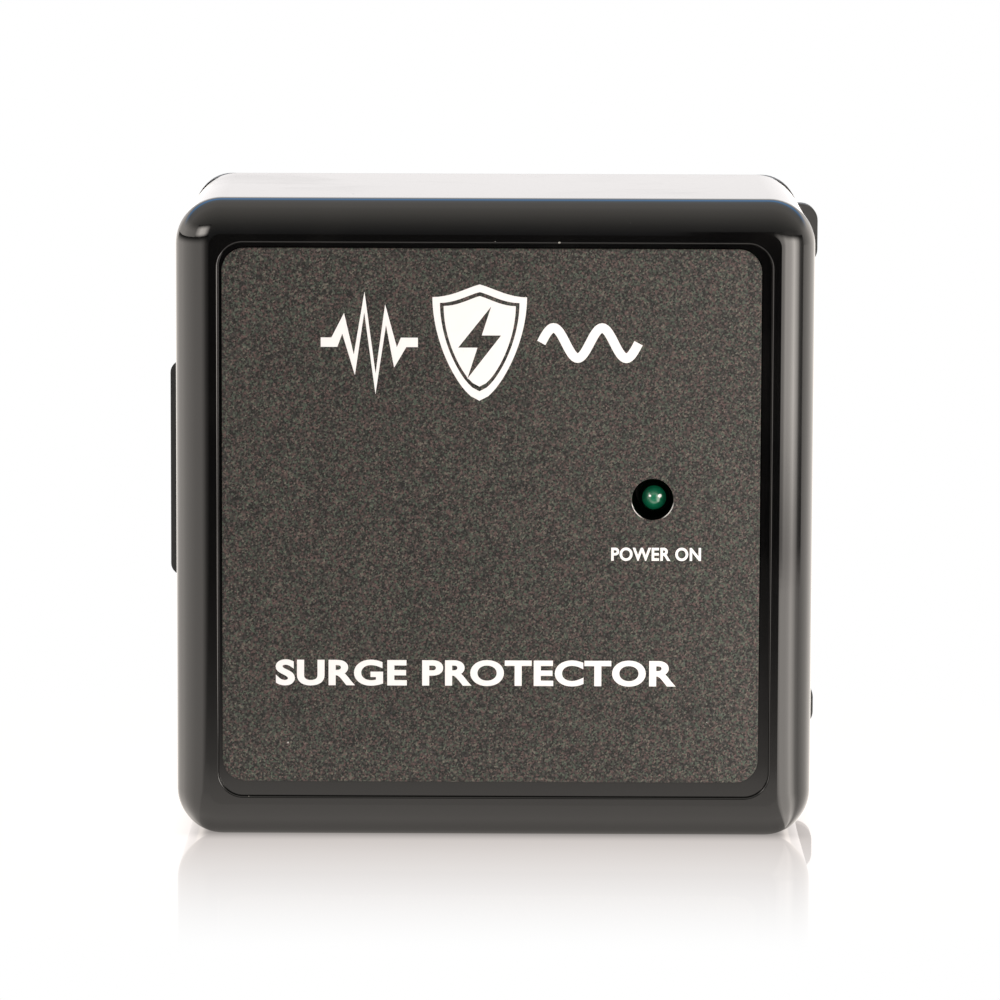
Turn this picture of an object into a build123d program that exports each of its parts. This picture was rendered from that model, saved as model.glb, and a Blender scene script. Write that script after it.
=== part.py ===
from build123d import *
import math
import os

os.makedirs("parts", exist_ok=True)

# Plug-in surge protection module, in millimetres. The origin is the middle of the rear seating face.
# The front faces -Y, the plug blades leave towards +Y, +X is right seen from the front and +Z is up.

# Case
side = 101.6
height = 102.4
depth = 63.5
wall = 2.5
corner_radius = 7.4
rim_radius = 5.4
recess_top = 88.2
recess_floor = 87.7
recess_depth = 0.8
recess_corner = 3.9
front_wall = 2.6
base_thickness = 5.0
base_inset = 0.3
base_corner = 6.0
base_bevel = 0.8
base_floor = 2.4
flange_width = 6.5
lip_thickness = 1.6
lip_height = 4.0
fit_gap = 0.2
slide_gap = 0.15
press_gap = 0.02

# Label
label_side = 85.5
label_corner = 3.7
label_thickness = 0.25
label_x, label_z = -0.55, 0.75

# Indicator
hole_x, lamp_x, lamp_z = 25.15, 25.45, 3.6
lamp_hole = 3.3
lamp_radius = 2.5
lamp_flange = 2.95
lamp_tip = 1.6
lamp_length = 8.6
lamp_pitch = 2.54
lamp_board_x, lamp_board_z = 26.0, 12.0
lamp_screw_reach = 9.5
spacer_length = 5.0
board_thickness = 1.6

# Case screws and their bosses
boss_place = 42.0
boss_radius = 4.0
boss_bore = 14.0
web_thickness = 2.0
lamp_boss = 2.8
lamp_bore = 8.0
small_post = 3.0
case_screw = 1.6
case_head = 3.1
small_screw = 1.25
small_head = 2.3

# Hook lugs and release latch
lug_reach = 3.2
lug_places = [(41.0, 10.4), (-38.9, 8.0)]
lug_corner = 2.8
lug_thickness = 3.2
latch_reach = 4.0
latch_length = 36.4
latch_z = 1.3
latch_travel = 4.0
latch_block_x, latch_block_z = 12.4, 30.0
latch_height = 10.35
cover_seat = 10.5
cover_thickness = 1.5
cover_length = 47.0
guide_wall = 2.0
guide_end = -20.0
latch_bore = 2.5
latch_bore_depth = 7.0
spring_place = 7.5
spring_depth = 6.5
spring_radius = 1.9
spring_wire = 0.25
spring_turns = 9
spring_peg = 1.3
peg_length = 3.0

# Plug blades
blade_width = 9.5
blade_thickness = 1.6
blade_reach = 12.0
ground_reach = 14.0
shoulder_width = 13.5
shoulder_height = 3.0
tail_width = 5.0
blade_places = {
    "line_1": (22.0, 24.0),
    "neutral": (22.0, 0.0),
    "line_2": (22.0, -24.0),
    "ground": (6.0, 0.0),
}
clamp_x, clamp_z = 34.5, 59.0
clamp_middle = 12.25
clamp_posts = [(-1.0, 25.5), (-1.0, -25.5), (25.5, 12.0), (25.5, -12.0)]

# Main board, seen from its front with its parts towards the front wall
board_back = -22.0
board_side = 92.0
board_notch = 8.5
post_place = 34.0
post_radius = 3.2
post_step = 2.6
sheet_back = -18.5
sheet_thickness = 0.5

# Board parts
disc_radius = 11.0
disc_thickness = 5.4
disc_rows = (24.0, -24.0)
disc_columns = (-39.0, -32.0, -18.0, -11.0)
disc_lift = 4.0
disc_pitch = 7.5
cutoff_x = -25.0
fuse_x, fuse_z = 41.5, 18.5
fuse_length = 32.0
fuse_radius = 3.25
cap_length = 6.4
clip_wall = 0.5
capacitor_x, capacitor_z = 8.0, 25.0
capacitor_size = (10.0, 26.0, 19.0)
gas_tube_x = -4.0
gas_tube_radius = 4.0
gas_tube_inner = 2.4
gas_tube_half = 3.4
gas_tube_reach = 2.2
edge_row = -41.0
cutoff_radius = 2.0
cutoff_reach = 5.5
cutoff_lift = 9.0
discharge_x = 31.0
resistor_radius = 1.75
dropper_radius = 2.75
diode_radius = 1.4
axial_lift = 2.2
axial_reach = 2.0
header_x = 22.0
pin_place = 1.5

# Planes worked out from the sizes above
recess_y = -depth + recess_depth
cavity_front = recess_y + front_wall
inner_side = side - 2 * wall
inner_height = height - 2 * wall
board_front = board_back - board_thickness
tail_end = board_front - 2.0
boss_seat = -base_thickness - lip_height - 0.5
lamp_front = recess_y + lamp_tip
lamp_back = lamp_front + lamp_length
lamp_board_front = lamp_back + spacer_length
lamp_board_back = lamp_board_front + board_thickness
clamp_back = -base_thickness - shoulder_height
clamp_front = clamp_back - 3.0
cover_front = -cover_seat - cover_thickness
latch_block_left = -side / 2 + wall + fit_gap + lip_thickness + 0.1
latch_block_right = latch_block_left + latch_block_x
guide_start = latch_block_left + 5.9
cover_screws = [(x, latch_z + sz * 20.3) for x in (-37.5, -24.0) for sz in (1, -1)]
corners = [(x, z) for x in (-1, 1) for z in (-1, 1)]
disc_places = [(x, z) for z in disc_rows for x in disc_columns]


# Helpers: outlines are drawn in X and Z, and stand between two planes of constant y.
def layer(outline, back, front):
    return extrude(Plane.XZ.offset(-back) * outline, amount=back - front)


def block(size_x, size_z, back, front, x=0.0, z=0.0, corner=0.0):
    outline = RectangleRounded(size_x, size_z, corner) if corner else Rectangle(size_x, size_z)
    return layer(Pos(x, z) * outline, back, front)


def post(radius, back, front, x=0.0, z=0.0):
    return layer(Pos(x, z) * Circle(radius), back, front)


def rod(radius, start, end):
    run = Vector(*end) - Vector(*start)
    return extrude(Plane(origin=start, z_dir=run) * Circle(radius), amount=run.length)


def bent_rod(radius, points, bend):
    path = FilletPolyline(*points, radius=bend)
    return sweep(Plane(origin=path @ 0, z_dir=path % 0) * Circle(radius), path=path)


def group(solids):
    return Compound(children=list(solids))


# A pan-head cross-recess screw. The head sits on y = seat and stands towards `outward` (+1 rear, -1 front).
def screw(x, z, seat, outward, length, radius, head, head_height):
    top = seat + outward * head_height
    shank_end = seat - outward * length
    body = post(head, max(seat, top), min(seat, top), x, z)
    rim = body.edges().filter_by(GeomType.CIRCLE).sort_by(Axis.Y)[-1 if outward > 0 else 0]
    body = fillet(rim, head_height * 0.45)
    body += post(radius, max(seat, shank_end), min(seat, shank_end), x, z)
    slot_floor = top - outward * head_height * 0.6
    for size_x, size_z in ((head * 1.15, head * 0.28), (head * 0.28, head * 1.15)):
        body -= block(size_x, size_z, max(top, slot_floor), min(top, slot_floor), x, z)
    return body


# Two legs that leave an axial part's ends and bend down to the board at y = foot.
def axial_legs(start, end, reach, foot, radius=0.4, bend=1.0):
    legs = []
    middle = (Vector(*start) + Vector(*end)) / 2
    for tip in (Vector(*start), Vector(*end)):
        outward = (tip - middle).normalized()
        knee = tip + outward * reach
        legs.append(bent_rod(radius, [tip, knee, Vector(knee.X, foot, knee.Z)], bend))
    return legs


# The case
def front_housing():
    shell = block(side, height, -base_thickness, -depth, corner=corner_radius)
    shell = fillet(shell.edges().group_by(Axis.Y)[0], rim_radius)
    cavity = block(inner_side, inner_height, -base_thickness, cavity_front, corner=corner_radius - wall)
    shell -= fillet(cavity.edges().group_by(Axis.Y)[0], wall)
    mouth_corner = recess_corner + (recess_top - recess_floor) / 2
    mouth = Plane.XZ.offset(depth) * RectangleRounded(recess_top, recess_top, mouth_corner)
    floor = Plane.XZ.offset(-recess_y) * RectangleRounded(recess_floor, recess_floor, recess_corner)
    shell -= loft([mouth, floor])
    shell -= post(lamp_hole, cavity_front + 1, recess_y - 1, hole_x, lamp_z)
    for sx, sz in corners:
        x, z = sx * boss_place, sz * boss_place
        web_x = side / 2 - boss_place - wall / 2
        web_z = height / 2 - boss_place - wall / 2
        shell += post(boss_radius, boss_seat, cavity_front, x, z)
        shell += block(web_x, web_thickness, boss_seat, cavity_front, x + sx * web_x / 2, z)
        shell += block(web_thickness, web_z, boss_seat, cavity_front, x, z + sz * web_z / 2)
        shell -= post(case_screw + press_gap, boss_seat, boss_seat - boss_bore, x, z)
    for sx in (-1, 1):
        x = lamp_x + sx * lamp_screw_reach
        shell += post(lamp_boss, lamp_board_front, cavity_front, x, lamp_z)
        shell -= post(small_screw + press_gap, lamp_board_front, lamp_board_front - lamp_bore, x, lamp_z)
    return shell


def front_label():
    sheet = block(label_side, label_side, recess_y, recess_y - label_thickness, label_x, label_z, label_corner)
    return sheet - post(lamp_hole, recess_y + 1, recess_y - 1, hole_x, lamp_z)


# The rear base with its lip, bosses, board posts, latch guides and hook lugs
def base_plate():
    plate = block(side - 2 * base_inset, height - 2 * base_inset, 0, -base_thickness, corner=base_corner)
    plate = chamfer(plate.edges().group_by(Axis.Y)[-1], base_bevel)
    pocket = side - 2 * flange_width
    plate -= block(pocket, pocket, -base_floor, -base_thickness, corner=2)
    plate += base_lip()
    channel = latch_length + 2 * slide_gap
    channel_x = -side / 2 + flange_width / 2
    plate -= block(flange_width + 1, channel, -base_floor, -base_thickness, channel_x, latch_z)
    for z, length in lug_places:
        plate += block(2 * lug_reach, length, 0, -lug_thickness, side / 2, z, lug_corner)
    return plate


def base_lip():
    lip_x, lip_z = inner_side - 2 * fit_gap, inner_height - 2 * fit_gap
    lip_corner = corner_radius - wall - fit_gap
    lip = block(lip_x, lip_z, -base_thickness + 1, -base_thickness - lip_height, corner=lip_corner)
    hole_x_size, hole_z_size = lip_x - 2 * lip_thickness, lip_z - 2 * lip_thickness
    return lip - block(hole_x_size, hole_z_size, 0, -depth, corner=lip_corner - lip_thickness)


def add_latch_guides(plate):
    guide_length = guide_end - guide_start
    guide_z = latch_block_z / 2 + slide_gap + guide_wall / 2
    for sz in (-1, 1):
        middle = (guide_start + guide_end) / 2
        plate += block(guide_length, guide_wall, -base_floor, -cover_seat, middle, latch_z + sz * guide_z)
    stop_x = guide_end - guide_wall / 2
    plate += block(guide_wall, 2 * guide_z, -base_floor, -cover_seat, stop_x, latch_z)
    peg_start = guide_end - guide_wall
    for sz in (-1, 1):
        z = latch_z + sz * spring_place
        plate += rod(spring_peg, (peg_start, -spring_depth, z), (peg_start - peg_length, -spring_depth, z))
    for x, z in cover_screws:
        plate += post(small_post, -base_floor, -cover_seat, x, z)
        plate -= post(small_screw + press_gap, -base_floor - 1, -cover_seat, x, z)
    return plate


def add_blade_seats(plate):
    for x, z in blade_places.values():
        plate += block(shoulder_width + 2, blade_thickness + 4, -base_floor, -base_thickness, x, z)
        plate -= block(blade_width + fit_gap, blade_thickness + fit_gap, 0, -base_thickness, x, z)
    for x, z in clamp_posts:
        plate += post(small_post, -base_floor, clamp_back, x, z)
        plate -= post(small_screw + press_gap, -base_floor - 1, clamp_back, x, z)
    return plate


def rear_base():
    plate = add_blade_seats(add_latch_guides(base_plate()))
    for sx, sz in corners:
        x, z = sx * boss_place, sz * boss_place
        plate += post(boss_radius + fit_gap, -base_floor, boss_seat, x, z)
        plate -= post(case_head + 0.5, 0, -base_floor - fit_gap, x, z)
        plate -= post(case_screw + 0.3, 0, boss_seat, x, z)
        x, z = sx * post_place, sz * post_place
        plate += post(post_radius, -base_floor, sheet_back, x, z)
        plate += post(post_step, sheet_back, board_back, x, z)
        plate -= post(small_screw + press_gap, board_back + 10, board_back, x, z)
    return plate


# The release latch: a nose that stands out of the left side, and a block that the springs push on
def release_latch():
    back, front = -base_floor - slide_gap, -base_thickness + slide_gap
    nose_left = -side / 2 - latch_reach
    nose_right = latch_block_left + 1.4
    nose = block(nose_right - nose_left, latch_length, back, front, (nose_left + nose_right) / 2, latch_z)
    outer_face = nose.faces().sort_by(Axis.X)[0]
    nose = fillet(outer_face.edges().filter_by(Axis.Y), 2.0)
    lead_in = nose.edges().filter_by(Axis.Z).sort_by(Axis.X)[:2].sort_by(Axis.Y)[-1]
    nose = chamfer(lead_in, 1.4)
    middle = (latch_block_left + latch_block_right) / 2
    latch = nose + block(latch_block_x, latch_block_z, back, -latch_height, middle, latch_z)
    for sz in (-1, 1):
        mouth = Vector(latch_block_right, -spring_depth, latch_z + sz * spring_place)
        latch -= rod(latch_bore, mouth - Vector(latch_bore_depth, 0, 0), mouth)
    return latch


# A compression spring along X between the latch's bore and the stop wall, with its wire's ends inside the gap
def latch_spring(z):
    start = latch_block_right - latch_bore_depth + spring_wire
    end = guide_end - guide_wall - spring_wire
    pitch = (end - start) / spring_turns
    line = Helix(pitch=pitch, height=end - start, radius=spring_radius, direction=(1, 0, 0))
    line = Pos(start, -spring_depth, z) * line
    return sweep(Plane(origin=line @ 0, z_dir=line % 0) * Circle(spring_wire), path=line, is_frenet=True)


def latch_cover():
    left, right = guide_start + 0.2, guide_end + 1
    plate = block(right - left, cover_length, -cover_seat, cover_front, (left + right) / 2, latch_z, corner=2)
    for x, z in cover_screws:
        plate -= post(small_screw + 0.15, -cover_seat, cover_front, x, z)
    return plate


# The plug blades and what holds them
def blade(name):
    x, z = blade_places[name]
    reach = ground_reach if name == "ground" else blade_reach
    strip = block(blade_width, blade_thickness, reach, -base_thickness, x, z)
    tip_corners = strip.edges().filter_by(Axis.Z).sort_by(Axis.Y)[-2:]
    strip = chamfer(tip_corners, 1.6)
    strip = chamfer(strip.faces().sort_by(Axis.Y)[-1].edges().filter_by(Axis.X), 0.5)
    strip += block(shoulder_width, blade_thickness, -base_thickness, clamp_back, x, z)
    return strip + block(tail_width, blade_thickness, clamp_back, tail_end, x, z)


def tail_slots(solid, back, front):
    for x, z in blade_places.values():
        solid -= block(tail_width + fit_gap, blade_thickness + fit_gap, back, front, x, z)
    return solid


def blade_clamp():
    bar = block(clamp_x, clamp_z, clamp_back, clamp_front, clamp_middle, corner=2)
    for x, z in clamp_posts:
        bar -= post(small_screw + 0.15, clamp_back, clamp_front, x, z)
    return tail_slots(bar, clamp_back, clamp_front)


# Boards
def notched_board(board_size, back, front):
    board = block(board_size, board_size, back, front)
    notch = 2 * board_notch - (board_side - board_size)
    for sx, sz in corners:
        board -= block(notch, notch, back, front, sx * board_size / 2, sz * board_size / 2)
    return board


def insulating_sheet():
    front = sheet_back - sheet_thickness
    sheet = tail_slots(notched_board(board_side - 2, sheet_back, front), sheet_back, front)
    for sx, sz in corners:
        sheet -= post(post_step + 0.1, sheet_back, front, sx * post_place, sz * post_place)
    return sheet


def main_board(leg_feet):
    board = tail_slots(notched_board(board_side, board_back, board_front), board_back, board_front)
    for sx, sz in corners:
        board -= post(small_screw + 0.15, board_back, board_front, sx * post_place, sz * post_place)
    for x, z in leg_feet:
        board -= post(0.75, board_back, board_front, x, z)
    return board


def indicator_board():
    board = block(lamp_board_x, lamp_board_z, lamp_board_back, lamp_board_front, lamp_x, lamp_z, corner=1)
    for sx in (-1, 1):
        board -= post(small_screw + 0.15, lamp_board_back, lamp_board_front, lamp_x + sx * lamp_screw_reach, lamp_z)
        board -= post(0.35, lamp_board_back, lamp_board_front, lamp_x + sx * lamp_pitch / 2, lamp_z)
    return board


# Surge-suppressing parts on the main board
def disc_middle():
    return board_front - disc_lift - disc_radius


def varistor(x, z):
    disc = rod(disc_radius, (x - disc_thickness / 2, disc_middle(), z), (x + disc_thickness / 2, disc_middle(), z))
    return fillet(disc.edges().filter_by(GeomType.CIRCLE), 1.6)


def varistor_leads():
    legs = []
    for x, z in disc_places:
        for sz in (-1, 1):
            leg_z = z + sz * disc_pitch / 2
            half_chord = math.sqrt(disc_radius**2 - (disc_pitch / 2) ** 2)
            legs.append(post(0.5, board_back + 1, disc_middle() + half_chord + 0.35, x, leg_z))
    return legs


def fuse_middle():
    return board_front - clip_wall - fuse_radius - 0.05


def fuse_tube(sz):
    half = fuse_length / 2 - 0.5
    middle = fuse_middle()
    return rod(fuse_radius - 0.22, (fuse_x, middle, sz * fuse_z - half), (fuse_x, middle, sz * fuse_z + half))


def fuse_cap(sz, end):
    outer = sz * fuse_z + end * fuse_length / 2
    inner = outer - end * cap_length
    middle = fuse_middle()
    cup = rod(fuse_radius, (fuse_x, middle, inner), (fuse_x, middle, outer))
    return cup - rod(fuse_radius - 0.2, (fuse_x, middle, inner), (fuse_x, middle, outer - end * 0.48))


def fuse_clip(sz, end):
    z = sz * fuse_z + end * (fuse_length - cap_length) / 2
    inner = 2 * fuse_radius + 0.04
    top = fuse_middle() - 2.6
    clip = block(inner + 2 * clip_wall, 4.4, board_front, top, fuse_x, z)
    clip -= block(inner, 4.4, board_front - clip_wall, top, fuse_x, z)
    return clip + post(0.6, board_back + 1, board_front, fuse_x, z)


def capacitor(sz):
    size_x, size_z, height = capacitor_size
    can = block(size_x, size_z, board_front, board_front - height, capacitor_x, sz * capacitor_z, corner=0.8)
    return fillet(can.edges().group_by(Axis.Y)[0], 0.7)


def capacitor_feet():
    reach = capacitor_size[1] / 2 - 1.75
    return [(capacitor_x, sz * capacitor_z + end * reach) for sz in (-1, 1) for end in (-1, 1)]


def gas_tube_ends(half):
    middle = board_front - gas_tube_radius - 0.4
    return (gas_tube_x, middle, -half), (gas_tube_x, middle, half)


def gas_tube():
    return rod(gas_tube_radius - 0.2, *gas_tube_ends(gas_tube_inner))


def gas_tube_caps():
    caps = []
    for inner, outer in zip(gas_tube_ends(gas_tube_inner), gas_tube_ends(gas_tube_half)):
        caps.append(rod(gas_tube_radius, inner, outer))
    legs = axial_legs(*gas_tube_ends(gas_tube_half), gas_tube_reach, board_back + 1)
    return [cap + leg for cap, leg in zip(caps, legs)]


# Axial parts: the ends and radius of each body. A leg reaches past each end, then down to the main board.
def axial_parts():
    low = board_front - axial_lift
    high = board_front - cutoff_lift
    parts = {
        "dropper": ((-7.5, low - 1, edge_row), (7.5, low - 1, edge_row), dropper_radius),
        "rectifier": ((-24, low, edge_row), (-19, low, edge_row), diode_radius),
    }
    for number, sz in ((1, 1), (2, -1)):
        start, end = (discharge_x, low, sz * 10 - 4.5), (discharge_x, low, sz * 10 + 4.5)
        parts["discharge_" + str(number)] = (start, end, resistor_radius)
        start, end = (cutoff_x, high, sz * 24 - cutoff_reach), (cutoff_x, high, sz * 24 + cutoff_reach)
        parts["cutoff_" + str(number)] = (start, end, cutoff_radius)
    return parts


def axial_body(name):
    start, end, radius = axial_parts()[name]
    body = rod(radius, start, end)
    return fillet(body.edges().filter_by(GeomType.CIRCLE), 0.35)


def axial_leads():
    legs = []
    for start, end, _ in axial_parts().values():
        legs += axial_legs(start, end, axial_reach, board_back + 1)
    return legs


def leg_feet():
    feet = [(x, z + sz * disc_pitch / 2) for x, z in disc_places for sz in (-1, 1)]
    feet += [(fuse_x, sz * fuse_z + end * (fuse_length - cap_length) / 2) for sz in (-1, 1) for end in (-1, 1)]
    feet += capacitor_feet()
    feet += [(gas_tube_x, sz * (gas_tube_half + gas_tube_reach)) for sz in (-1, 1)]
    feet += [(header_x + sx * pin_place, edge_row) for sx in (-1, 1)]
    for start, end, _ in axial_parts().values():
        run = (Vector(*end) - Vector(*start)).normalized() * axial_reach
        feet += [(start[0] - run.X, start[2] - run.Z), (end[0] + run.X, end[2] + run.Z)]
    return feet


# The indicator lamp, its board and its lead to the main board
def indicator_lens():
    lens = post(lamp_radius, lamp_back, lamp_front + lamp_radius, lamp_x, lamp_z)
    lens += Pos(lamp_x, lamp_front + lamp_radius, lamp_z) * Sphere(lamp_radius)
    return lens + post(lamp_flange, lamp_back, lamp_back - 1, lamp_x, lamp_z)


def lamp_leg_places():
    return [(lamp_x + sx * lamp_pitch / 2, lamp_z) for sx in (-1, 1)]


def indicator_leads():
    return [post(0.25, lamp_board_back + 1, lamp_back, x, z) for x, z in lamp_leg_places()]


def indicator_spacer():
    sleeve = post(lamp_flange - 0.1, lamp_board_front, lamp_back, lamp_x, lamp_z)
    for x, z in lamp_leg_places():
        sleeve -= post(0.35, lamp_board_front, lamp_back, x, z)
    return sleeve


def indicator_axial(z):
    start = (lamp_x - 3.2, lamp_board_back + 1.35, z)
    end = (lamp_x + 3.2, lamp_board_back + 1.35, z)
    body = rod(1.15, start, end)
    for leg in axial_legs(start, end, 1.4, lamp_board_back, radius=0.25, bend=0.5):
        body += leg
    return body


def connector_header():
    box = block(8.4, 6.4, board_front, board_front - 8, header_x, edge_row)
    box -= block(7.2, 5.2, board_front - 1.4, board_front - 8, header_x, edge_row)
    for sx in (-1, 1):
        box -= post(0.4, board_front, board_front - 1.4, header_x + sx * pin_place, edge_row)
    return box


def connector_pins():
    return [post(0.35, board_back + 1, board_front - 1.5, header_x + sx * pin_place, edge_row) for sx in (-1, 1)]


def connector_plug():
    return block(7, 5, board_front - 1.6, board_front - 12, header_x, edge_row, corner=0.6)


def indicator_wire(sx):
    plug_x = header_x + sx * pin_place
    top = (header_x + sx * 2.2, lamp_board_back, lamp_z - 4.8)
    points = [
        top,
        (top[0], top[1] + 5.5, top[2]),
        (plug_x, top[1] + 4.5, edge_row),
        (plug_x, board_front - 12, edge_row),
    ]
    return bent_rod(0.65, points, 2.3)


# Fasteners
def base_screws():
    seat = -base_floor - fit_gap
    places = [(sx * boss_place, sz * boss_place) for sx, sz in corners]
    return [screw(x, z, seat, 1, 19, case_screw, case_head, 2.1) for x, z in places]


def small_screws(places, seat, length):
    return [screw(x, z, seat, -1, length, small_screw, small_head, 1.7) for x, z in places]


def lamp_screws():
    places = [(lamp_x + sx * lamp_screw_reach, lamp_z) for sx in (-1, 1)]
    return [screw(x, z, lamp_board_back, 1, 8, small_screw, small_head, 1.7) for x, z in places]


def all_nodes():
    nodes = {
        "front_housing": front_housing(),
        "front_label": front_label(),
        "rear_base": rear_base(),
        "base_screws": group(base_screws()),
        "release_latch": release_latch(),
        "latch_spring_upper": latch_spring(latch_z + spring_place),
        "latch_spring_lower": latch_spring(latch_z - spring_place),
        "latch_cover": latch_cover(),
        "latch_cover_screws": group(small_screws(cover_screws, cover_front, 8)),
        "blade_clamp": blade_clamp(),
        "blade_clamp_screws": group(small_screws(clamp_posts, clamp_front, 7)),
        "insulating_sheet": insulating_sheet(),
        "main_board": main_board(leg_feet()),
        "varistor_leads": group(varistor_leads()),
        "thermal_cutoff_line_1": axial_body("cutoff_1"),
        "thermal_cutoff_line_2": axial_body("cutoff_2"),
        "fuse_tubes": group(fuse_tube(sz) for sz in (1, -1)),
        "fuse_caps": group(fuse_cap(sz, end) for sz in (1, -1) for end in (1, -1)),
        "fuse_clips": group(fuse_clip(sz, end) for sz in (1, -1) for end in (1, -1)),
        "capacitor_line_1": capacitor(1),
        "capacitor_line_2": capacitor(-1),
        "capacitor_leads": group(post(0.4, board_back + 1, board_front, x, z) for x, z in capacitor_feet()),
        "gas_tube": gas_tube(),
        "gas_tube_caps": group(gas_tube_caps()),
        "discharge_resistors": group(axial_body(name) for name in ("discharge_1", "discharge_2")),
        "dropper_resistor": axial_body("dropper"),
        "rectifier_diode": axial_body("rectifier"),
        "axial_leads": group(axial_leads()),
        "connector_header": connector_header(),
        "connector_pins": group(connector_pins()),
        "connector_plug": connector_plug(),
        "indicator_wire_live": indicator_wire(1),
        "indicator_wire_return": indicator_wire(-1),
        "indicator_board": indicator_board(),
        "indicator_board_screws": group(lamp_screws()),
        "indicator_lens": indicator_lens(),
        "indicator_leads": group(indicator_leads()),
        "indicator_spacer": indicator_spacer(),
        "indicator_resistor": indicator_axial(lamp_z + 4.2),
        "indicator_diode": indicator_axial(lamp_z - 2.2),
    }
    post_places = [(sx * post_place, sz * post_place) for sx, sz in corners]
    nodes["main_board_screws"] = group(small_screws(post_places, board_front, 9))
    for name in blade_places:
        nodes["blade_" + name] = blade(name)
    for number, (x, z) in enumerate(disc_places, start=1):
        nodes["varistor_" + str(number)] = varistor(x, z)
    return nodes


for node, shape in all_nodes().items():
    export_step(shape, "parts/" + node + ".step")
    print(node, round(shape.volume, 1))
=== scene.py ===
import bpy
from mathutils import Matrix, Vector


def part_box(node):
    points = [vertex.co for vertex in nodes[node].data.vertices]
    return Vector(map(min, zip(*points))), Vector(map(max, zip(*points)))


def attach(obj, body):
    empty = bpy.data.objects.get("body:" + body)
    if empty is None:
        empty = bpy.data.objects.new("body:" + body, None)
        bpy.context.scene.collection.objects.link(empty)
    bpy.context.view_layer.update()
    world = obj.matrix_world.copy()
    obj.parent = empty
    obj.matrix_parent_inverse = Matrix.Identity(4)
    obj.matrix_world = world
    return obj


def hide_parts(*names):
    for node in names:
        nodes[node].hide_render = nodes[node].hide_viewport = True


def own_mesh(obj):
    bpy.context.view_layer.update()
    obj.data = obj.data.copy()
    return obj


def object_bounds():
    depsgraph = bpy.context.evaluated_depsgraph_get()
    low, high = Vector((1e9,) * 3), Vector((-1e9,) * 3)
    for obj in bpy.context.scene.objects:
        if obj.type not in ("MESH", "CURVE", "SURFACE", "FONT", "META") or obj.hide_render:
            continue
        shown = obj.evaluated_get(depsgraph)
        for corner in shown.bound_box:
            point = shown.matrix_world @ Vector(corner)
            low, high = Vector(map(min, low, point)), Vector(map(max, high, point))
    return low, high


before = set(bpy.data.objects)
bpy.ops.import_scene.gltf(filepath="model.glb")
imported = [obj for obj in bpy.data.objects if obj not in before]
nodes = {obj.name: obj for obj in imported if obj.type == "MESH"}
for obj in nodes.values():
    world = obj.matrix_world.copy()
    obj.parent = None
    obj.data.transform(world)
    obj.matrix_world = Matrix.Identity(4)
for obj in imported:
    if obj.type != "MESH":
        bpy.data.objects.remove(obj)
cadBox = [list(corner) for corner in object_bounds()]

import math

import bpy
from mathutils import Matrix, Vector

mm = 0.001
print("frame loaded with", len(nodes), "nodes")


# Shader maths: a wrapped socket that adds a Math node for each operator.
class Field:
    def __init__(self, tree, socket):
        self.tree = tree
        self.socket = socket

    def math(self, operation, first, second=0.0, third=0.0):
        values = {0: first, 1: second, 2: third}
        return addNode(self.tree, "Math", {"operation": operation}, values)

    def __add__(self, other):
        return self.math("ADD", self, other)

    def __radd__(self, other):
        return self.math("ADD", other, self)

    def __sub__(self, other):
        return self.math("SUBTRACT", self, other)

    def __rsub__(self, other):
        return self.math("SUBTRACT", other, self)

    def __mul__(self, other):
        return self.math("MULTIPLY", self, other)

    def __rmul__(self, other):
        return self.math("MULTIPLY", other, self)

    def __truediv__(self, other):
        return self.math("DIVIDE", self, other)

    def __pow__(self, other):
        return self.math("POWER", self, other)

    def __abs__(self):
        return self.math("ABSOLUTE", self)

    def __gt__(self, other):
        return self.math("GREATER_THAN", self, other)

    def max(self, other):
        return self.math("MAXIMUM", self, other)

    def angle(self, other):  # 0 along other and positive towards self
        return self.math("ARCTAN2", self, other)

    def apart(self, other):  # the distance of a place that lies self across and other along
        return (self * self + other * other) ** 0.5

    def step(self, low, high):  # 0 below low, 1 above high, smooth between
        if low > high:
            return 1 - self.step(high, low)
        values = {"Value": self, "From Min": low, "From Max": high}
        return addNode(self.tree, "MapRange", {"interpolation_type": "SMOOTHSTEP"}, values, "Result")


# Any node: its settings are set first, then the values and links of its sockets.
def addNode(tree, kind, settings=None, values=None, output=0):
    node = tree.nodes.new("ShaderNode" + kind)
    for name, value in (settings or {}).items():
        if name == "stops":
            setStops(node.color_ramp, value)
        else:
            setattr(node, name, value)
    for name, value in (values or {}).items():
        socket = findSocket(node.inputs, name)
        if isinstance(value, Field):
            tree.links.new(value.socket, socket)
        elif socket.type == "RGBA" and len(value) == 3:
            socket.default_value = (*value, 1)
        else:
            socket.default_value = value
    if not node.outputs:
        return node
    return Field(tree, findSocket(node.outputs, output))


def findSocket(sockets, name):
    if isinstance(name, int):
        return sockets[name]
    return next(socket for socket in sockets if name in (socket.identifier, socket.name) and socket.enabled)


def setStops(ramp, stops):
    while len(ramp.elements) < len(stops):
        ramp.elements.new(0.5)
    for element, (place, colour) in zip(ramp.elements, stops):
        element.position = place
        element.color = (*colour, 1)


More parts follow.
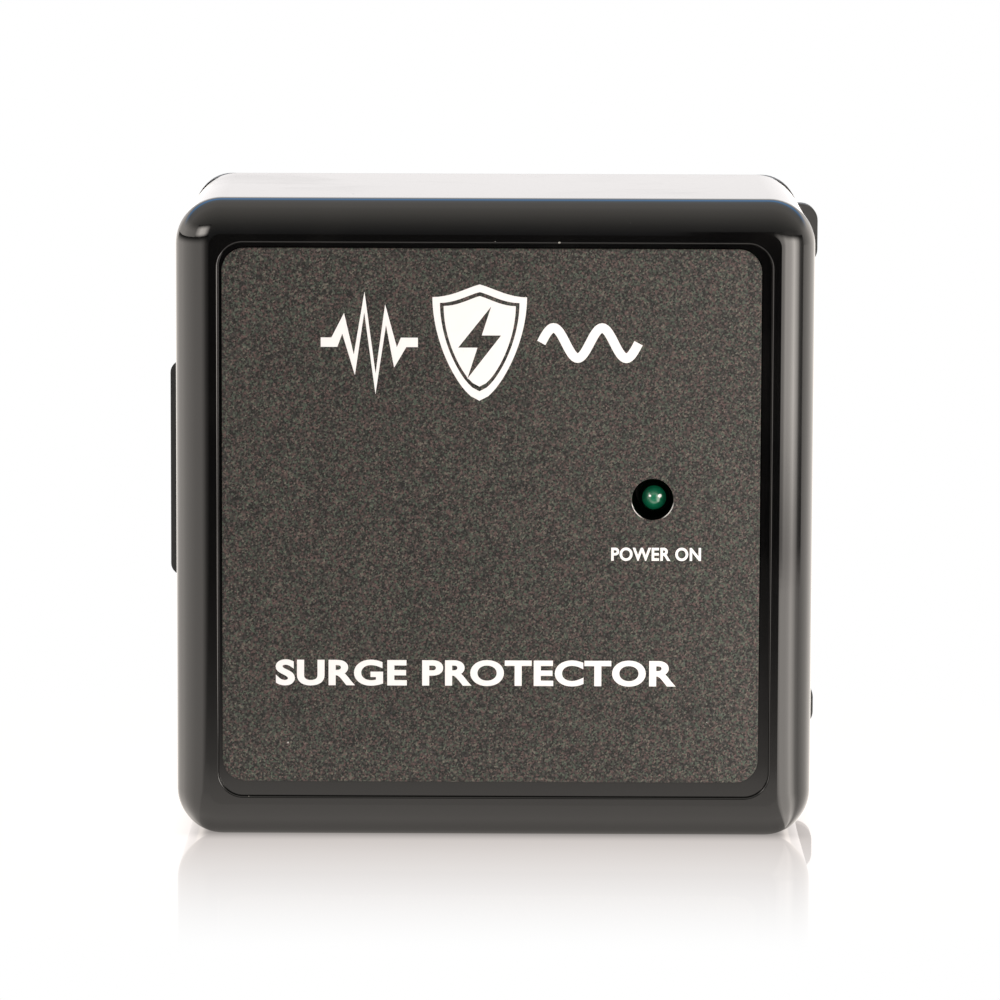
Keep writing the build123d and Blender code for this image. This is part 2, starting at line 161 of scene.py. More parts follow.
# A finish is one Principled material. Its patterns are measured in metres on the object.
class Finish:
    def __init__(self, name, **values):
        self.material = bpy.data.materials.new(name)
        self.material.use_nodes = True
        self.tree = self.material.node_tree
        self.tree.nodes.clear()
        self.place = self.add("TexCoord", output="Object")
        named = {key.replace("_", " "): value for key, value in values.items()}
        self.shader = self.add("BsdfPrincipled", values=named)
        self.add("OutputMaterial", values={"Surface": self.shader})

    def add(self, kind, settings=None, values=None, output=0):
        return addNode(self.tree, kind, settings, values, output)

    def feed(self, **links):
        inputs = self.shader.socket.node.inputs
        for name, field in links.items():
            self.tree.links.new(field.socket, inputs[name.replace("_", " ")])
        return self.material

    def stretch(self, x, y, z):
        return self.add("Mapping", {}, {"Vector": self.place, "Scale": (x, y, z)})

    def axis(self, letter):
        return self.add("SeparateXYZ", values={"Vector": self.place}, output=letter)

    def noise(self, size, detail=2.0, place=None, twist=0.0):  # size of the lumps in mm
        values = {"Vector": place or self.place, "Scale": 1 / (size * mm), "Detail": detail}
        values["Distortion"] = twist
        return self.add("TexNoise", {}, values, "Fac")

    def cells(self, size, place=None, output="Distance", feature="F1"):
        values = {"Vector": place or self.place, "Scale": 1 / (size * mm)}
        return self.add("TexVoronoi", {"feature": feature}, values, output)

    def specks(self, size, share, radius=0.2):  # one cell in a few holds a small round speck
        lucky = self.add("SeparateColor", {}, {"Color": self.cells(size, output="Color")}, "Red")
        return (lucky > 1 - share) * self.cells(size).step(radius, radius * 0.6)

    def mix(self, share, first, second):
        values = {"Factor_Float": share, "A_Color": first, "B_Color": second}
        return self.add("Mix", {"data_type": "RGBA"}, values, "Result_Color")

    def bump(self, height, depth, below=None):  # depth in mm
        values = {"Height": height, "Distance": depth * mm, "Strength": 1.0}
        if below:
            values["Normal"] = below
        return self.add("Bump", {}, values)


# The shell: nearly black gloss with smudges, a little dust and a faint orange peel.
caseLook = {
    "colour": (0.0020, 0.0020, 0.0021),
    "smudgeColour": (0.0036, 0.0035, 0.0034),
    "dustColour": (0.30, 0.29, 0.27),
    "roughness": 0.055,
    "smudge": 0.07,
    "peel": 0.0036,
    "dustHeight": 0.02,
}


def glossyCase():
    look = caseLook
    finish = Finish("gloss_black_case", IOR=1.5)
    smudge = finish.noise(21, 4, twist=0.6).step(0.47, 0.75)
    fine = finish.noise(0.9, 3)
    dust = finish.specks(5.5, 0.16, 0.045)
    dust = dust.max(finish.specks(2.6, 0.05, 0.05))
    scuffs = finish.noise(7, 5, finish.stretch(1, 0.25, 1.4), 1.5).step(0.62, 0.78)
    colour = finish.mix(smudge, look["colour"], look["smudgeColour"])
    colour = finish.mix(dust * 0.8, colour, look["dustColour"])
    roughness = look["roughness"] + smudge * look["smudge"] + fine * 0.02 + scuffs * 0.03 + dust * 0.6
    peel = finish.bump(finish.noise(2.4, 1), look["peel"])
    grain = finish.bump(dust, look["dustHeight"], peel)
    return finish.feed(Base_Color=colour, Roughness=roughness, Normal=grain)


mattLook = {
    "colour": (0.0105, 0.0108, 0.0112),
    "worn": (0.022, 0.022, 0.023),
    "dust": (0.3, 0.29, 0.27),
    "roughness": 0.46,
    "grain": 0.012,
}


def mattPlastic(name, look, grainSize=0.35):
    finish = Finish(name, IOR=1.48)
    lumps = finish.noise(grainSize, 3)
    pits = finish.cells(grainSize * 1.6)
    worn = finish.noise(9, 5, twist=0.8).step(0.5, 0.8)
    dust = finish.specks(3.4, 0.07, 0.05)
    colour = finish.mix(worn * 0.6 + lumps * 0.25, look["colour"], look["worn"])
    colour = finish.mix(dust * 0.5, colour, look["dust"])
    roughness = look["roughness"] + worn * 0.1 + lumps * 0.08
    grain = finish.bump(lumps + pits * 0.5, look["grain"])
    return finish.feed(Base_Color=colour, Roughness=roughness, Normal=grain)


# The label's film: a dark speckled grey with flakes of slightly different tints and lint, and painted
# highlight arcs at the lower edge of the lamp's hole.
labelLook = {
    "colour": (0.0035, 0.0034, 0.0032),
    "speckle": (0.043, 0.039, 0.036),
    "dark": (0.0008, 0.0008, 0.0008),
    "flake": 0.25,
    "tints": ((0.62, 0.36, 0.34), (0.34, 0.50, 0.36), (0.36, 0.40, 0.62)),
    "tintShare": 0.10,
    "lint": (0.42, 0.41, 0.39),
    # the colour, width, low and side limits in mm of the painted highlight arcs at the lower edge of the
    # lamp's hole
    "paintedHighlightColour": (0.45, 0.45, 0.44),
    "paintedHighlightWidth": (0.17, 0.1),
    "paintedHighlightLow": (0.3, 1.2),
    "paintedHighlightSide": (1.3, 2.2),
    "roughness": 0.45,
}


def labelFilm(holeX, holeZ, holeRadius):
    look = labelLook
    finish = Finish("label_film", IOR=1.47, Specular_IOR_Level=0.4)
    size = look["flake"]
    shades = [finish.add("SeparateColor", {}, {"Color": finish.cells(size, output="Color")}, part)
              for part in ("Red", "Green", "Blue")]
    flake = shades[1]
    soft = finish.noise(size * 1.7, 2)
    cloud = finish.noise(17, 3)
    rubbed = finish.noise(6, 5, finish.stretch(1, 1, 0.3), 1.0).step(0.58, 0.8)
    lint = finish.specks(6.5, 0.1, 0.028).max(finish.specks(3.1, 0.03, 0.03))
    bright = flake.step(0.45, 1.0) * 0.62 + soft.step(0.45, 0.8) * 0.35 + cloud * 0.08
    colour = finish.mix(bright, look["colour"], look["speckle"])
    colour = finish.mix(flake.step(0.42, 0.0) * 0.9, colour, look["dark"])
    for tint, shade in zip(look["tints"], (shades[0], shades[2], soft)):
        colour = finish.mix(shade.step(0.6, 1.0) * look["tintShare"], colour, tint)
    colour = finish.mix(lint * 0.75, colour, look["lint"])
    x, z = finish.axis("X") - holeX * mm, finish.axis("Z") - holeZ * mm  # places round the lamp's hole, for painted highlight arcs at its lower edge
    # painted highlight: paler arcs at the lower left and right of the hole's edge, where the hole's wall
    # would catch the light
    paintedHighlight = x.apart(z).step(*[(holeRadius + width) * mm for width in look["paintedHighlightWidth"]])
    low, side = [[limit * mm for limit in look[key]] for key in ("paintedHighlightLow", "paintedHighlightSide")]
    paintedHighlight = paintedHighlight * (-1 * z).step(*low) * abs(x).step(*side)
    colour = finish.mix(paintedHighlight, colour, look["paintedHighlightColour"])
    roughness = look["roughness"] + shades[0] * 0.12 - rubbed * 0.05 + lint * 0.2
    metallic = flake.step(0.85, 1.0) * 0.3
    grain = finish.bump(flake * 0.6 + soft, 0.006)
    return finish.feed(Base_Color=colour, Roughness=roughness, Metallic=metallic, Normal=grain)


inkLook = {"colour": (0.66, 0.65, 0.66), "worn": (0.44, 0.43, 0.43), "roughness": 0.44, "grain": 0.004}


def labelInk():
    look = inkLook
    finish = Finish("label_ink", IOR=1.47)
    grain = finish.noise(0.22, 3)
    thin = finish.noise(1.1, 4, twist=0.7).step(0.62, 0.85)
    worn = thin * 0.3 + grain.step(0.55, 0.85) * 0.14
    colour = finish.mix(worn, look["colour"], look["worn"])
    roughness = look["roughness"] + grain * 0.14
    return finish.feed(Base_Color=colour, Roughness=roughness, Normal=finish.bump(grain, look["grain"]))


# Metals: a brushed direction, tarnish in patches and a few bright scratches.
def metal(name, colour, tarnish, roughness, brush=(1, 1, 12), spots=0.1):
    finish = Finish(name, Metallic=1.0)
    lines = finish.noise(0.9, 4, finish.stretch(*brush))
    patch = finish.noise(3.5, 5, twist=1.2).step(0.48, 0.72)
    pits = finish.specks(1.1, spots, 0.13)
    shade = finish.mix(patch * 0.7, colour, tarnish)
    shade = finish.mix(lines.step(0.45, 0.75) * 0.25, shade, [part * 0.72 for part in colour])
    shade = finish.mix(pits * 0.6, shade, [part * 0.5 for part in tarnish])
    rough = roughness + patch * 0.12 + lines * 0.1 + pits * 0.2
    grain = finish.bump(lines + pits * -0.6, 0.006)
    return finish.feed(Base_Color=shade, Roughness=rough, Normal=grain)


# Dipped or moulded coatings of the small parts: mottled, slightly lumpy, a soft gloss.
def coating(name, colour, shade, roughness, lump=1.4, depth=0.02, coat=0.0):
    finish = Finish(name, IOR=1.5, Coat_Roughness=0.12)
    lumps = finish.noise(lump, 3)
    mottle = finish.noise(lump * 0.28, 5, twist=0.5)
    dirt = finish.noise(4.5, 5, twist=1.1).step(0.52, 0.82)
    dots = finish.specks(lump * 0.7, 0.12, 0.14)
    tone = finish.mix(mottle.step(0.35, 0.8) * 0.5 + dirt * 0.35, colour, shade)
    tone = finish.mix(dots * 0.4, tone, [part * 0.45 for part in shade])
    rough = roughness + mottle * 0.12 + dirt * 0.14
    skin = finish.bump(lumps + mottle * 0.2, depth)
    return finish.feed(Base_Color=tone, Roughness=rough, Coat_Weight=coat * (1 - dirt), Normal=skin)


boardLook = {
    "mask": (0.006, 0.075, 0.028),
    "trace": (0.012, 0.13, 0.05),
    "weave": (0.02, 0.16, 0.07),
    "pad": (0.62, 0.60, 0.56),
    "flux": (0.09, 0.11, 0.03),
    "pitch": 2.54,
    "thread": 0.6,
    "relief": 0.03,
}


def circuitBoard():
    look = boardLook
    finish = Finish("circuit_board", IOR=1.5, Coat_Roughness=0.08)
    block, thread = look["pitch"] * 2.4, look["thread"] * mm
    blocks = finish.cells(block, output="Color")
    wide = finish.add("SeparateColor", {}, {"Color": blocks}, "Red")
    seams = finish.cells(block, feature="DISTANCE_TO_EDGE")
    copper = (wide > 0.35) * seams.step(0.035, 0.06)
    alongX, alongZ = [finish.axis(letter) / thread for letter in "XZ"]
    alongX, alongZ = [along.math("PINGPONG", along, 0.5) for along in (alongX, alongZ)]
    cloth = (alongX.step(0.1, 0.4) * alongZ.step(0.1, 0.4)) * 0.35
    flux = finish.noise(5, 5, twist=1.3).step(0.55, 0.8)
    vias = finish.specks(look["pitch"] * 1.6, 0.16, 0.1)
    colour = finish.mix(cloth, look["mask"], look["weave"])
    colour = finish.mix(copper, colour, look["trace"])
    colour = finish.mix(flux * 0.25, colour, look["flux"])
    colour = finish.mix(vias, colour, look["pad"])
    rough = 0.3 + flux * 0.22 + vias * 0.1 + finish.noise(0.5, 3) * 0.06
    relief = finish.bump(copper + vias * 0.4 + cloth * 0.2, look["relief"])
    coat, metallic = 0.35 * (1 - flux), vias * 0.9
    return finish.feed(Base_Color=colour, Roughness=rough, Metallic=metallic, Coat_Weight=coat, Normal=relief)


# The lamp: a green disc, brighter in the middle, with painted shade towards its edge, a paler ring that is a
# painted reflection, and two painted highlight dots.
lampLook = {
    "bright": (0.010, 0.135, 0.070),
    "middle": (0.0010, 0.100, 0.047),
    # ring is the colour of a painted reflection, dark is painted shade at the dome's edge, and dot is the
    # colour of painted highlights
    "ring": (0.08, 0.19, 0.13),
    "dark": (0.0012, 0.006, 0.003),
    "dot": (0.9, 0.93, 0.9),
    "glow": 0.05,
    # radii in mm of the brighter middle, the painted edge shade and the painted reflection ring
    "centre": (0.3, 1.2),
    "edge": (1.82, 2.0),
    "paintedRingInside": (0.45, 0.65),
    "paintedRingOutside": (0.95, 0.8),
    # the painted highlight dots: their height, then each one's side and size in mm
    "paintedDotHeight": 0.35,
    "dots": ((-0.7, 0.13), (0.9, 0.2)),
    "roughness": 0.12,
    "swirl": 0.003,
}


def lampGreen(centreX, centreZ):
    look = lampLook
    finish = Finish("lamp_green", IOR=1.52, Coat_Weight=0.3, Coat_Roughness=0.02,
                    Emission_Strength=look["glow"])
    x, z = finish.axis("X") - centreX, finish.axis("Z") - centreZ
    radius = x.apart(z)
    centre, edge, inside, outside = [radius.step(*[limit * mm for limit in look[key]])
                                     for key in ("centre", "edge", "paintedRingInside", "paintedRingOutside")]
    swirl = finish.noise(0.8, 3)
    colour = finish.mix(centre, look["bright"], look["middle"])
    # a paler ring: a painted reflection
    colour = finish.mix(outside * inside * 0.55 + swirl * 0.05, colour, look["ring"])
    # painted shade towards the dome's edge, where the dome would show the dark wall of the hole
    colour = finish.mix(edge, colour, look["dark"])
    # two white dots: painted highlights of the soft boxes
    for side, size in look["dots"]:
        away = (x - side * mm).apart(z - look["paintedDotHeight"] * mm)
        colour = finish.mix(away.step(size * 1.7 * mm, size * mm), colour, look["dot"])
    rough = look["roughness"] + swirl * 0.05
    grain = finish.bump(swirl, look["swirl"])
    # the whole colour glows faintly, including the painted ring and highlights
    return finish.feed(Base_Color=colour, Emission_Color=colour, Roughness=rough, Normal=grain)


# A ring lies across Y: a list of (x, z, outward x, outward z) in mm. Rings that are lofted together have the
# same number of points.
sideSteps, cornerSteps, roundSteps, rimSteps, wallSteps = 40, 16, 64, 28, 14


def squareRing(half, corner, x=0.0, z=0.0, taller=0.0):  # taller adds to the half height only
    ring = []
    for quarter in range(4):
        start = math.radians(90 * quarter)
        across = math.copysign(half - corner, math.cos(start + math.pi / 4))
        up = math.copysign(half - corner + taller, math.sin(start + math.pi / 4))
        for step in range(cornerSteps + 1):
            angle = start + math.pi / 2 * step / cornerSteps
            outX, outZ = math.cos(angle), math.sin(angle)
            ring.append((x + across + corner * outX, z + up + corner * outZ, outX, outZ))
        lastX, lastZ = ring[-1][:2]
        run = 2 * (half - corner + taller * (quarter % 2))  # the side walls follow the odd quarters
        for step in range(1, sideSteps):
            share = run * step / sideSteps
            ring.append((lastX - share * outZ, lastZ + share * outX, outX, outZ))
    return ring


def roundRing(radius, x, z, guide=None):  # a guide ring gives the directions of the points
    if guide:
        angles = [math.atan2(point[1] - z, point[0] - x) for point in guide]
    else:
        angles = [math.tau * step / roundSteps for step in range(roundSteps)]
    return [(x + radius * math.cos(a), z + radius * math.sin(a), math.cos(a), math.sin(a)) for a in angles]


# Lofts runs of stations (ring, y, outward, forward) into one closed mesh. The last two are the normal at
# the station, so an edge between two runs is sharp and everything within a run is smooth.
def loft(name, runs, caps=()):
    points, known, faces, normals = [], {}, [], []

    def place(ring, y):
        key = (round(y, 4), *[round(value, 4) for value in ring[0][:2] + ring[len(ring) // 3][:2]])
        if key not in known:
            known[key] = len(points)
            points.extend(Vector((x, y, z)) * mm for x, z, outX, outZ in ring)
        return known[key]

    for run in runs:
        for (ringA, yA, outA, frontA), (ringB, yB, outB, frontB) in zip(run, run[1:]):
            firstA, firstB, count = place(ringA, yA), place(ringB, yB), len(ringA)
            for step in range(count):
                after = (step + 1) % count
                corners = [(firstA, ringA, step, outA, frontA), (firstA, ringA, after, outA, frontA),
                           (firstB, ringB, after, outB, frontB), (firstB, ringB, step, outB, frontB)]
                addFace(points, faces, normals, corners)
    for ring, y, forward in caps:
        first = place(ring, y)
        ids = [first + step for step in range(len(ring))]
        faces.append(ids if forward > 0 else ids[::-1])
        normals.extend([Vector((0, -forward, 0))] * len(ids))
    return makeMesh(name, points, faces, normals)


def addFace(points, faces, normals, corners):
    ids, directions = [], []
    for first, ring, step, outward, forward in corners:
        outX, outZ = ring[step][2:]
        ids.append(first + step)
        directions.append(Vector((outX * outward, -forward, outZ * outward)).normalized())
    flat = (points[ids[2]] - points[ids[0]]).cross(points[ids[3]] - points[ids[1]])
    if flat.dot(sum(directions, Vector())) < 0:
        ids.reverse()
        directions.reverse()
    faces.append(ids)
    normals.extend(directions)


def makeMesh(name, points, faces, normals=None):
    mesh = bpy.data.meshes.new(name)
    mesh.from_pydata(points, [], faces)
    mesh.polygons.foreach_set("use_smooth", [True] * len(mesh.polygons))
    if normals:
        mesh.normals_split_custom_set(normals)
    piece = bpy.data.objects.new(name, mesh)
    bpy.context.scene.collection.objects.link(piece)
    return piece


# Stations round an edge whose circle has its middle at (half, y). An angle of 0 faces outward and 90
# forward, and a hollow edge has its normals turned the other way.
def edgeRun(half, y, radius, start, end, ringAt, hollow=False, steps=5):
    run = []
    sign = -1 if hollow else 1
    for step in range(steps + 1):
        angle = math.radians(start + (end - start) * step / steps)
        out, forward = math.cos(angle), math.sin(angle)
        run.append((ringAt(half + radius * out), y - radius * forward, sign * out, sign * forward))
    return run


def straightRun(first, last, steps=1):  # (ring maker, size, y) at both ends, then the shared normal
    ringAt, sizeA, yA, outward, forward = first
    sizeB, yB = last
    run = []
    for step in range(steps + 1):
        share = step / steps
        run.append((ringAt(sizeA + (sizeB - sizeA) * share), yA + (yB - yA) * share, outward, forward))
    return run


def finishPiece(piece, material, body="module"):
    piece.data.materials.append(material)
    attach(piece, body)
    return piece


caseBox = [[value / mm for value in corner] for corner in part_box("front_housing")]
labelBox = [[value / mm for value in corner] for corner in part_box("front_label")]
lampBox = [[value / mm for value in corner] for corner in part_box("indicator_lens")]
lampX, lampZ = [(lampBox[0][axis] + lampBox[1][axis]) / 2 for axis in (0, 2)]
lampTip = lampBox[0][1]
recessY = labelBox[1][1]

# The shell. The mouth of the recess is a little taller than wide, and the hole sits left of the lamp.
caseShape = {
    "corner": 7.4,
    "rimWidth": 5.5,
    "rimDepth": 5.4,
    "rimEnd": 6,
    "mouth": 43.9,
    "mouthTaller": 0.45,
    "floor": 43.86,
    "recessCorner": 3.9,
    "wall": 2.5,
    "frontWall": 2.6,
    "hole": 3.3,
    "holeShift": -0.3,
    "mouthEdge": 0.3,
    "wallTilt": 0.3,
    "sharp": 0.12,
}


def frontHousing():
    shape = caseShape
    half, back, front = caseBox[1][0], caseBox[1][1], caseBox[0][1]
    sharp, inner, inside = shape["sharp"], half - shape["wall"], recessY + shape["frontWall"]
    holeX = lampX + shape["holeShift"]
    taller = caseBox[1][2] - half

    def outer(size):
        return squareRing(size, shape["corner"] + size - half, taller=taller)

    def recess(size):
        corner = shape["recessCorner"] + size - shape["floor"]
        return squareRing(size, corner, taller=shape["mouthTaller"])

    def cavity(size):
        return squareRing(size, shape["corner"] - half + size, taller=taller)

    def hole(size):
        return roundRing(size, holeX, lampZ, recess(shape["floor"]))

    rimStart = math.radians(shape["rimEnd"])
    reach = shape["rimWidth"] / (1 - math.sin(rimStart))
    rise = shape["rimDepth"] / math.cos(rimStart)
    rim = []
    for step in range(rimSteps + 1):
        angle = math.pi / 2 + (rimStart - math.pi / 2) * step / rimSteps
        size = half - reach * (1 - math.sin(angle))
        normal = Vector((math.sin(angle) / reach, math.cos(angle) / rise)).normalized()
        rim.append((outer(size), front + shape["rimDepth"] - rise * math.cos(angle), normal.x, normal.y))
    rimTop = half - shape["rimWidth"]
    mouth, floor, radius, soft = shape["mouth"], shape["floor"], shape["hole"], shape["mouthEdge"]
    tilt = shape["wallTilt"]
    runs = [
        edgeRun(half - sharp, back - sharp, sharp, -90, 0, outer),
        straightRun((outer, half, back - sharp, 1, 0), (half, front + shape["rimDepth"]), wallSteps),
        rim,
        [(outer(rimTop), front, 0, 1), (recess(mouth + soft), front, 0, 1)],
        edgeRun(mouth + soft, front + soft, soft, 90, 180, recess, steps=8),
        [(recess(mouth), front + soft, -1, tilt), (recess(floor), recessY - sharp / 2, -1, tilt)],
        [(recess(floor), recessY - sharp / 2, -1, tilt), (recess(floor - sharp / 2), recessY, 0, 1)],
        [(recess(floor - sharp / 2), recessY, 0, 1), (hole(radius + sharp), recessY, 0, 1)],
        edgeRun(radius + sharp, recessY + sharp, sharp, 90, 180, hole),
        straightRun((hole, radius, recessY + sharp, -1, 0), (radius, inside), 3),
        [(hole(radius), inside, 0, -1), (cavity(inner - shape["wall"]), inside, 0, -1)],
        edgeRun(inner - shape["wall"], inside + shape["wall"], shape["wall"], 90, 0, cavity, True, 8),
        straightRun((cavity, inner, inside + shape["wall"], -1, 0), (inner, back - sharp), wallSteps),
        edgeRun(inner + sharp, back - sharp, sharp, 180, 270, cavity),
        [(cavity(inner + sharp), back, 0, -1), (outer(half - sharp), back, 0, -1)],
    ]
    piece = finishPiece(loft("frontHousing", runs), glossyCase())
    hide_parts("front_housing")
    return piece


# Four bosses take the case screws and two small ones the lamp's board. Webs tie the four to the walls.
bossShape = {
    "radius": 4.0,
    "bore": 1.62,
    "seat": -9.5,
    "headRadius": 3.1,
    "webWidth": 2,
    "webDraft": 0.2,
    "webEdge": 0.25,
    "edge": 0.3,
    "lampRadius": 2.8,
    "lampBore": 1.27,
    "lampReach": 9.5,
}
webFaces = ((0, 1, 2, 3), (7, 6, 5, 4), (0, 4, 5, 1), (1, 5, 6, 2), (2, 6, 7, 3), (3, 7, 4, 0))


# A round boss from its foot on the inside of the front wall to its open end, with the screw's bore.
def bossRuns(x, z, radius, foot, end, bore):
    def ringAt(size):
        return roundRing(size, x, z)

    soft = bossShape["edge"]
    return [
        straightRun((ringAt, bore, foot, 0, 1), (radius, foot)),
        straightRun((ringAt, radius, foot, 1, 0), (radius, end - soft), 6),
        edgeRun(radius - soft, end - soft, soft, 0, -90, ringAt),
        straightRun((ringAt, radius - soft, end, 0, -1), (bore, end)),
        straightRun((ringAt, bore, end, -1, 0), (bore, foot), 4),
    ]


def webPoints(x, z, width, height, front, back):  # the eight corners of a drafted web
    points = []
    for y, grow in ((front, bossShape["webDraft"]), (back, 0)):
        for signX, signZ in ((-1, -1), (1, -1), (1, 1), (-1, 1)):
            across = x + signX * (width / 2 + grow * (width < height))
            up = z + signZ * (height / 2 + grow * (height < width))
            points.append(Vector((across, y, up)) * mm)
    return points


def housingBosses(case):
    shape = bossShape
    inside = recessY + caseShape["frontWall"]
    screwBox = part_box("base_screws")
    place = screwBox[1][0] / mm - shape["headRadius"]
    taller = caseBox[1][2] - caseBox[1][0]
    thick, reach = shape["webWidth"], caseBox[1][0] - place - caseShape["wall"] / 2
    webSizes = ((reach, thick, reach, 0), (thick, reach + taller, 0, reach + taller))
    runs, points, faces = [], [], []
    for signX in (-1, 1):
        for signZ in (-1, 1):
            x, z = signX * place, signZ * place
            runs += bossRuns(x, z, shape["radius"], inside, shape["seat"], shape["bore"])
            for width, height, moveX, moveZ in webSizes:
                first, middle = len(points), (x + signX * moveX / 2, z + signZ * moveZ / 2)
                points += webPoints(*middle, width, height, inside, shape["seat"])
                faces += [[first + corner for corner in face] for face in webFaces]
    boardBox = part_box("indicator_board")
    end = boardBox[0][1] / mm
    for side in (-1, 1):
        x = lampX + side * shape["lampReach"]
        runs += bossRuns(x, lampZ, shape["lampRadius"], inside, end, shape["lampBore"])
    gloss = case.data.materials[0]
    piece = finishPiece(loft("housingBosses", runs), gloss)
    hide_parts("front_housing")
    webs = finishPiece(makeMesh("bossWebs", points, faces), gloss)
    webs.data.polygons.foreach_set("use_smooth", [False] * len(webs.data.polygons))
    soften = webs.modifiers.new("soft edges", "BEVEL")
    soften.width = shape["webEdge"] * mm
    soften.segments = 2
    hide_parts("front_housing")


labelShape = {"corner": 3.7, "edge": 0.13}


def frontLabel():
    back, front = labelBox[1][1], labelBox[0][1]
    x, z = [(labelBox[0][axis] + labelBox[1][axis]) / 2 for axis in (0, 2)]
    half, sharp = (labelBox[1][0] - labelBox[0][0]) / 2, labelShape["edge"]
    holeX, radius = lampX + caseShape["holeShift"], caseShape["hole"]

    def outer(size):
        return squareRing(size, labelShape["corner"] + size - half, x, z)

    def hole(size):
        return roundRing(size, holeX, lampZ, outer(half))

    runs = [
        straightRun((outer, half, back, 1, 0), (half, front + sharp)),
        edgeRun(half - sharp, front + sharp, sharp, 0, 90, outer),
        [(outer(half - sharp), front, 0, 1), (hole(radius + sharp), front, 0, 1)],
        edgeRun(radius + sharp, front + sharp, sharp, 90, 180, hole),
        straightRun((hole, radius, front + sharp, -1, 0), (radius, back)),
        [(hole(radius), back, 0, -1), (outer(half), back, 0, -1)],
    ]
    piece = finishPiece(loft("frontLabel", runs), labelFilm(holeX, lampZ, radius))
    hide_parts("front_label")


lampShape = {"radius": 2.5, "flange": 2.95, "flangeDepth": 1.0, "edge": 0.15}


def lampLens():
    radius, flange, depth, edge = [lampShape[key] for key in ("radius", "flange", "flangeDepth", "edge")]
    back = lampBox[1][1]

    def ringAt(size):
        return roundRing(size, lampX, lampZ)

    runs = [
        edgeRun(0, lampTip + radius, radius, 89.5, 0, ringAt, steps=24),
        straightRun((ringAt, radius, lampTip + radius, 1, 0), (radius, back - depth), 4),
        straightRun((ringAt, radius, back - depth, 0, 1), (flange - edge, back - depth)),
        edgeRun(flange - edge, back - depth + edge, edge, 90, 0, ringAt),
        straightRun((ringAt, flange, back - depth + edge, 1, 0), (flange, back)),
    ]
    piece = loft("lampLens", runs, [(runs[0][0][0], runs[0][0][1], 1), (ringAt(flange), back, -1)])
    finishPiece(piece, lampGreen(lampX * mm, lampZ * mm))
    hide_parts("indicator_lens")


# Printing on the label: a thin film of ink with real thickness.
inkShape = {"depth": 0.02, "extrude": 0.01, "smoothness": 8, "spacing": 1.06}


def printCurve(curve, name, ink, left, right, low, high):
    holder = bpy.data.objects.new(name + "Curve", curve)
    bpy.context.scene.collection.objects.link(holder)
    bpy.context.view_layer.update()
    flat = bpy.data.meshes.new_from_object(holder.evaluated_get(bpy.context.evaluated_depsgraph_get()))
    bpy.data.objects.remove(holder)
    lows = [min(point.co[axis] for point in flat.vertices) for axis in range(3)]
    highs = [max(point.co[axis] for point in flat.vertices) for axis in range(3)]
    front = labelBox[0][1]
    for point in flat.vertices:
        shares = [(point.co[axis] - lows[axis]) / (highs[axis] - lows[axis]) for axis in range(3)]
        x = left + (right - left) * shares[0]
        z = low + (high - low) * shares[1]
        point.co = Vector((x, front - inkShape["depth"] * shares[2], z)) * mm
    flat.name = name
    piece = bpy.data.objects.new(name, flat)
    bpy.context.scene.collection.objects.link(piece)
    piece.data.materials.clear()
    return finishPiece(piece, ink)


# The words, their left, right, low and high limits on the label, and how much the strokes are thickened.
wordsShape = {
    "lampCaption": ("POWER ON", 18.6, 32.9, -6.25, -4.1, 0.030),
    "mainCaption": ("SURGE PROTECTOR", -34.8, 29.0, -26.5, -22.3, 0.036),
}


def printWords(name, ink):
    words, left, right, low, high, weight = wordsShape[name]
    curve = bpy.data.curves.new(name, "FONT")
    curve.body = words
    curve.offset = weight
    curve.extrude = inkShape["extrude"]
    curve.resolution_u = inkShape["smoothness"]
    curve.space_character = inkShape["spacing"]
    printCurve(curve, name, ink, left, right, low, high)


# A shield with a bolt between a run of spikes and a wave. The groove and the inner shield have how far they
# are raised, narrower and shorter.
emblemShape = {
    "left": -27.6,
    "right": 23.4,
    "low": 19.3,
    "high": 37.8,
    "stroke": 1.5,
    "spikes": [(0, 0), (2.2, 0), (3.6, 3.0), (5.4, -3.6), (7.0, 6.4), (8.8, -6.6), (10.4, 4.4), (12.0, -2.4),
               (13.3, 0), (15.6, 0)],
    "waveRun": 15.6,
    "waveLength": 7.8,
    "waveHeight": 2.4,
    "waveSteps": 64,
    "shieldShare": 0.82,
    "shoulder": 0.11,
    "shoulderSteps": 8,
    "shieldSteps": 24,
    "shoulderCurve": 1.2,
    "sideCurve": 0.62,
    "fallCurve": 1.05,
    "groove": (0.15, 2.4, 2.7),
    "inner": (0.2, 3.6, 4.1),
    "boltShare": 0.62,
    "bolt": [(0.16, 0.5), (-0.30, -0.07), (-0.03, -0.07), (-0.17, -0.5), (0.30, 0.10), (0.03, 0.10)],
}


def stroke(points, width):  # the outline of a line of that width
    sides = []
    for place, point in enumerate(points):
        before, after = points[max(place - 1, 0)], points[min(place + 1, len(points) - 1)]
        first = (point - before).normalized() if place else (after - point).normalized()
        second = (after - point).normalized() if place < len(points) - 1 else first
        across = (first + second).normalized().orthogonal()
        miter = min(1 / max(across.dot(first.orthogonal()), 0.3), 2.2)
        sides.append(across * (width / 2 * miter))
    return [p + s for p, s in zip(points, sides)] + [p - s for p, s in reversed(list(zip(points, sides)))]


def shieldOutline(x, z, width, height):
    shape = emblemShape
    top, side, shoulder = z + height / 2, width / 2, shape["shoulder"]
    points = [Vector((x, top))]
    for step in range(shape["shoulderSteps"]):  # the shoulders dip from the middle to the corners
        share = (step + 1) / shape["shoulderSteps"]
        dip = math.sin(share * math.pi / 2) ** shape["shoulderCurve"]
        points.append(Vector((x + side * share, top - height * shoulder * dip)))
    for step in range(shape["shieldSteps"]):
        share = (step + 1) / shape["shieldSteps"]
        reach = side * math.cos(share * math.pi / 2) ** shape["sideCurve"]
        fall = shoulder + (1 - shoulder) * share ** shape["fallCurve"]
        points.append(Vector((x + reach, top - height * fall)))
    return points + [Vector((2 * x - point.x, point.y)) for point in reversed(points[1:-1])]


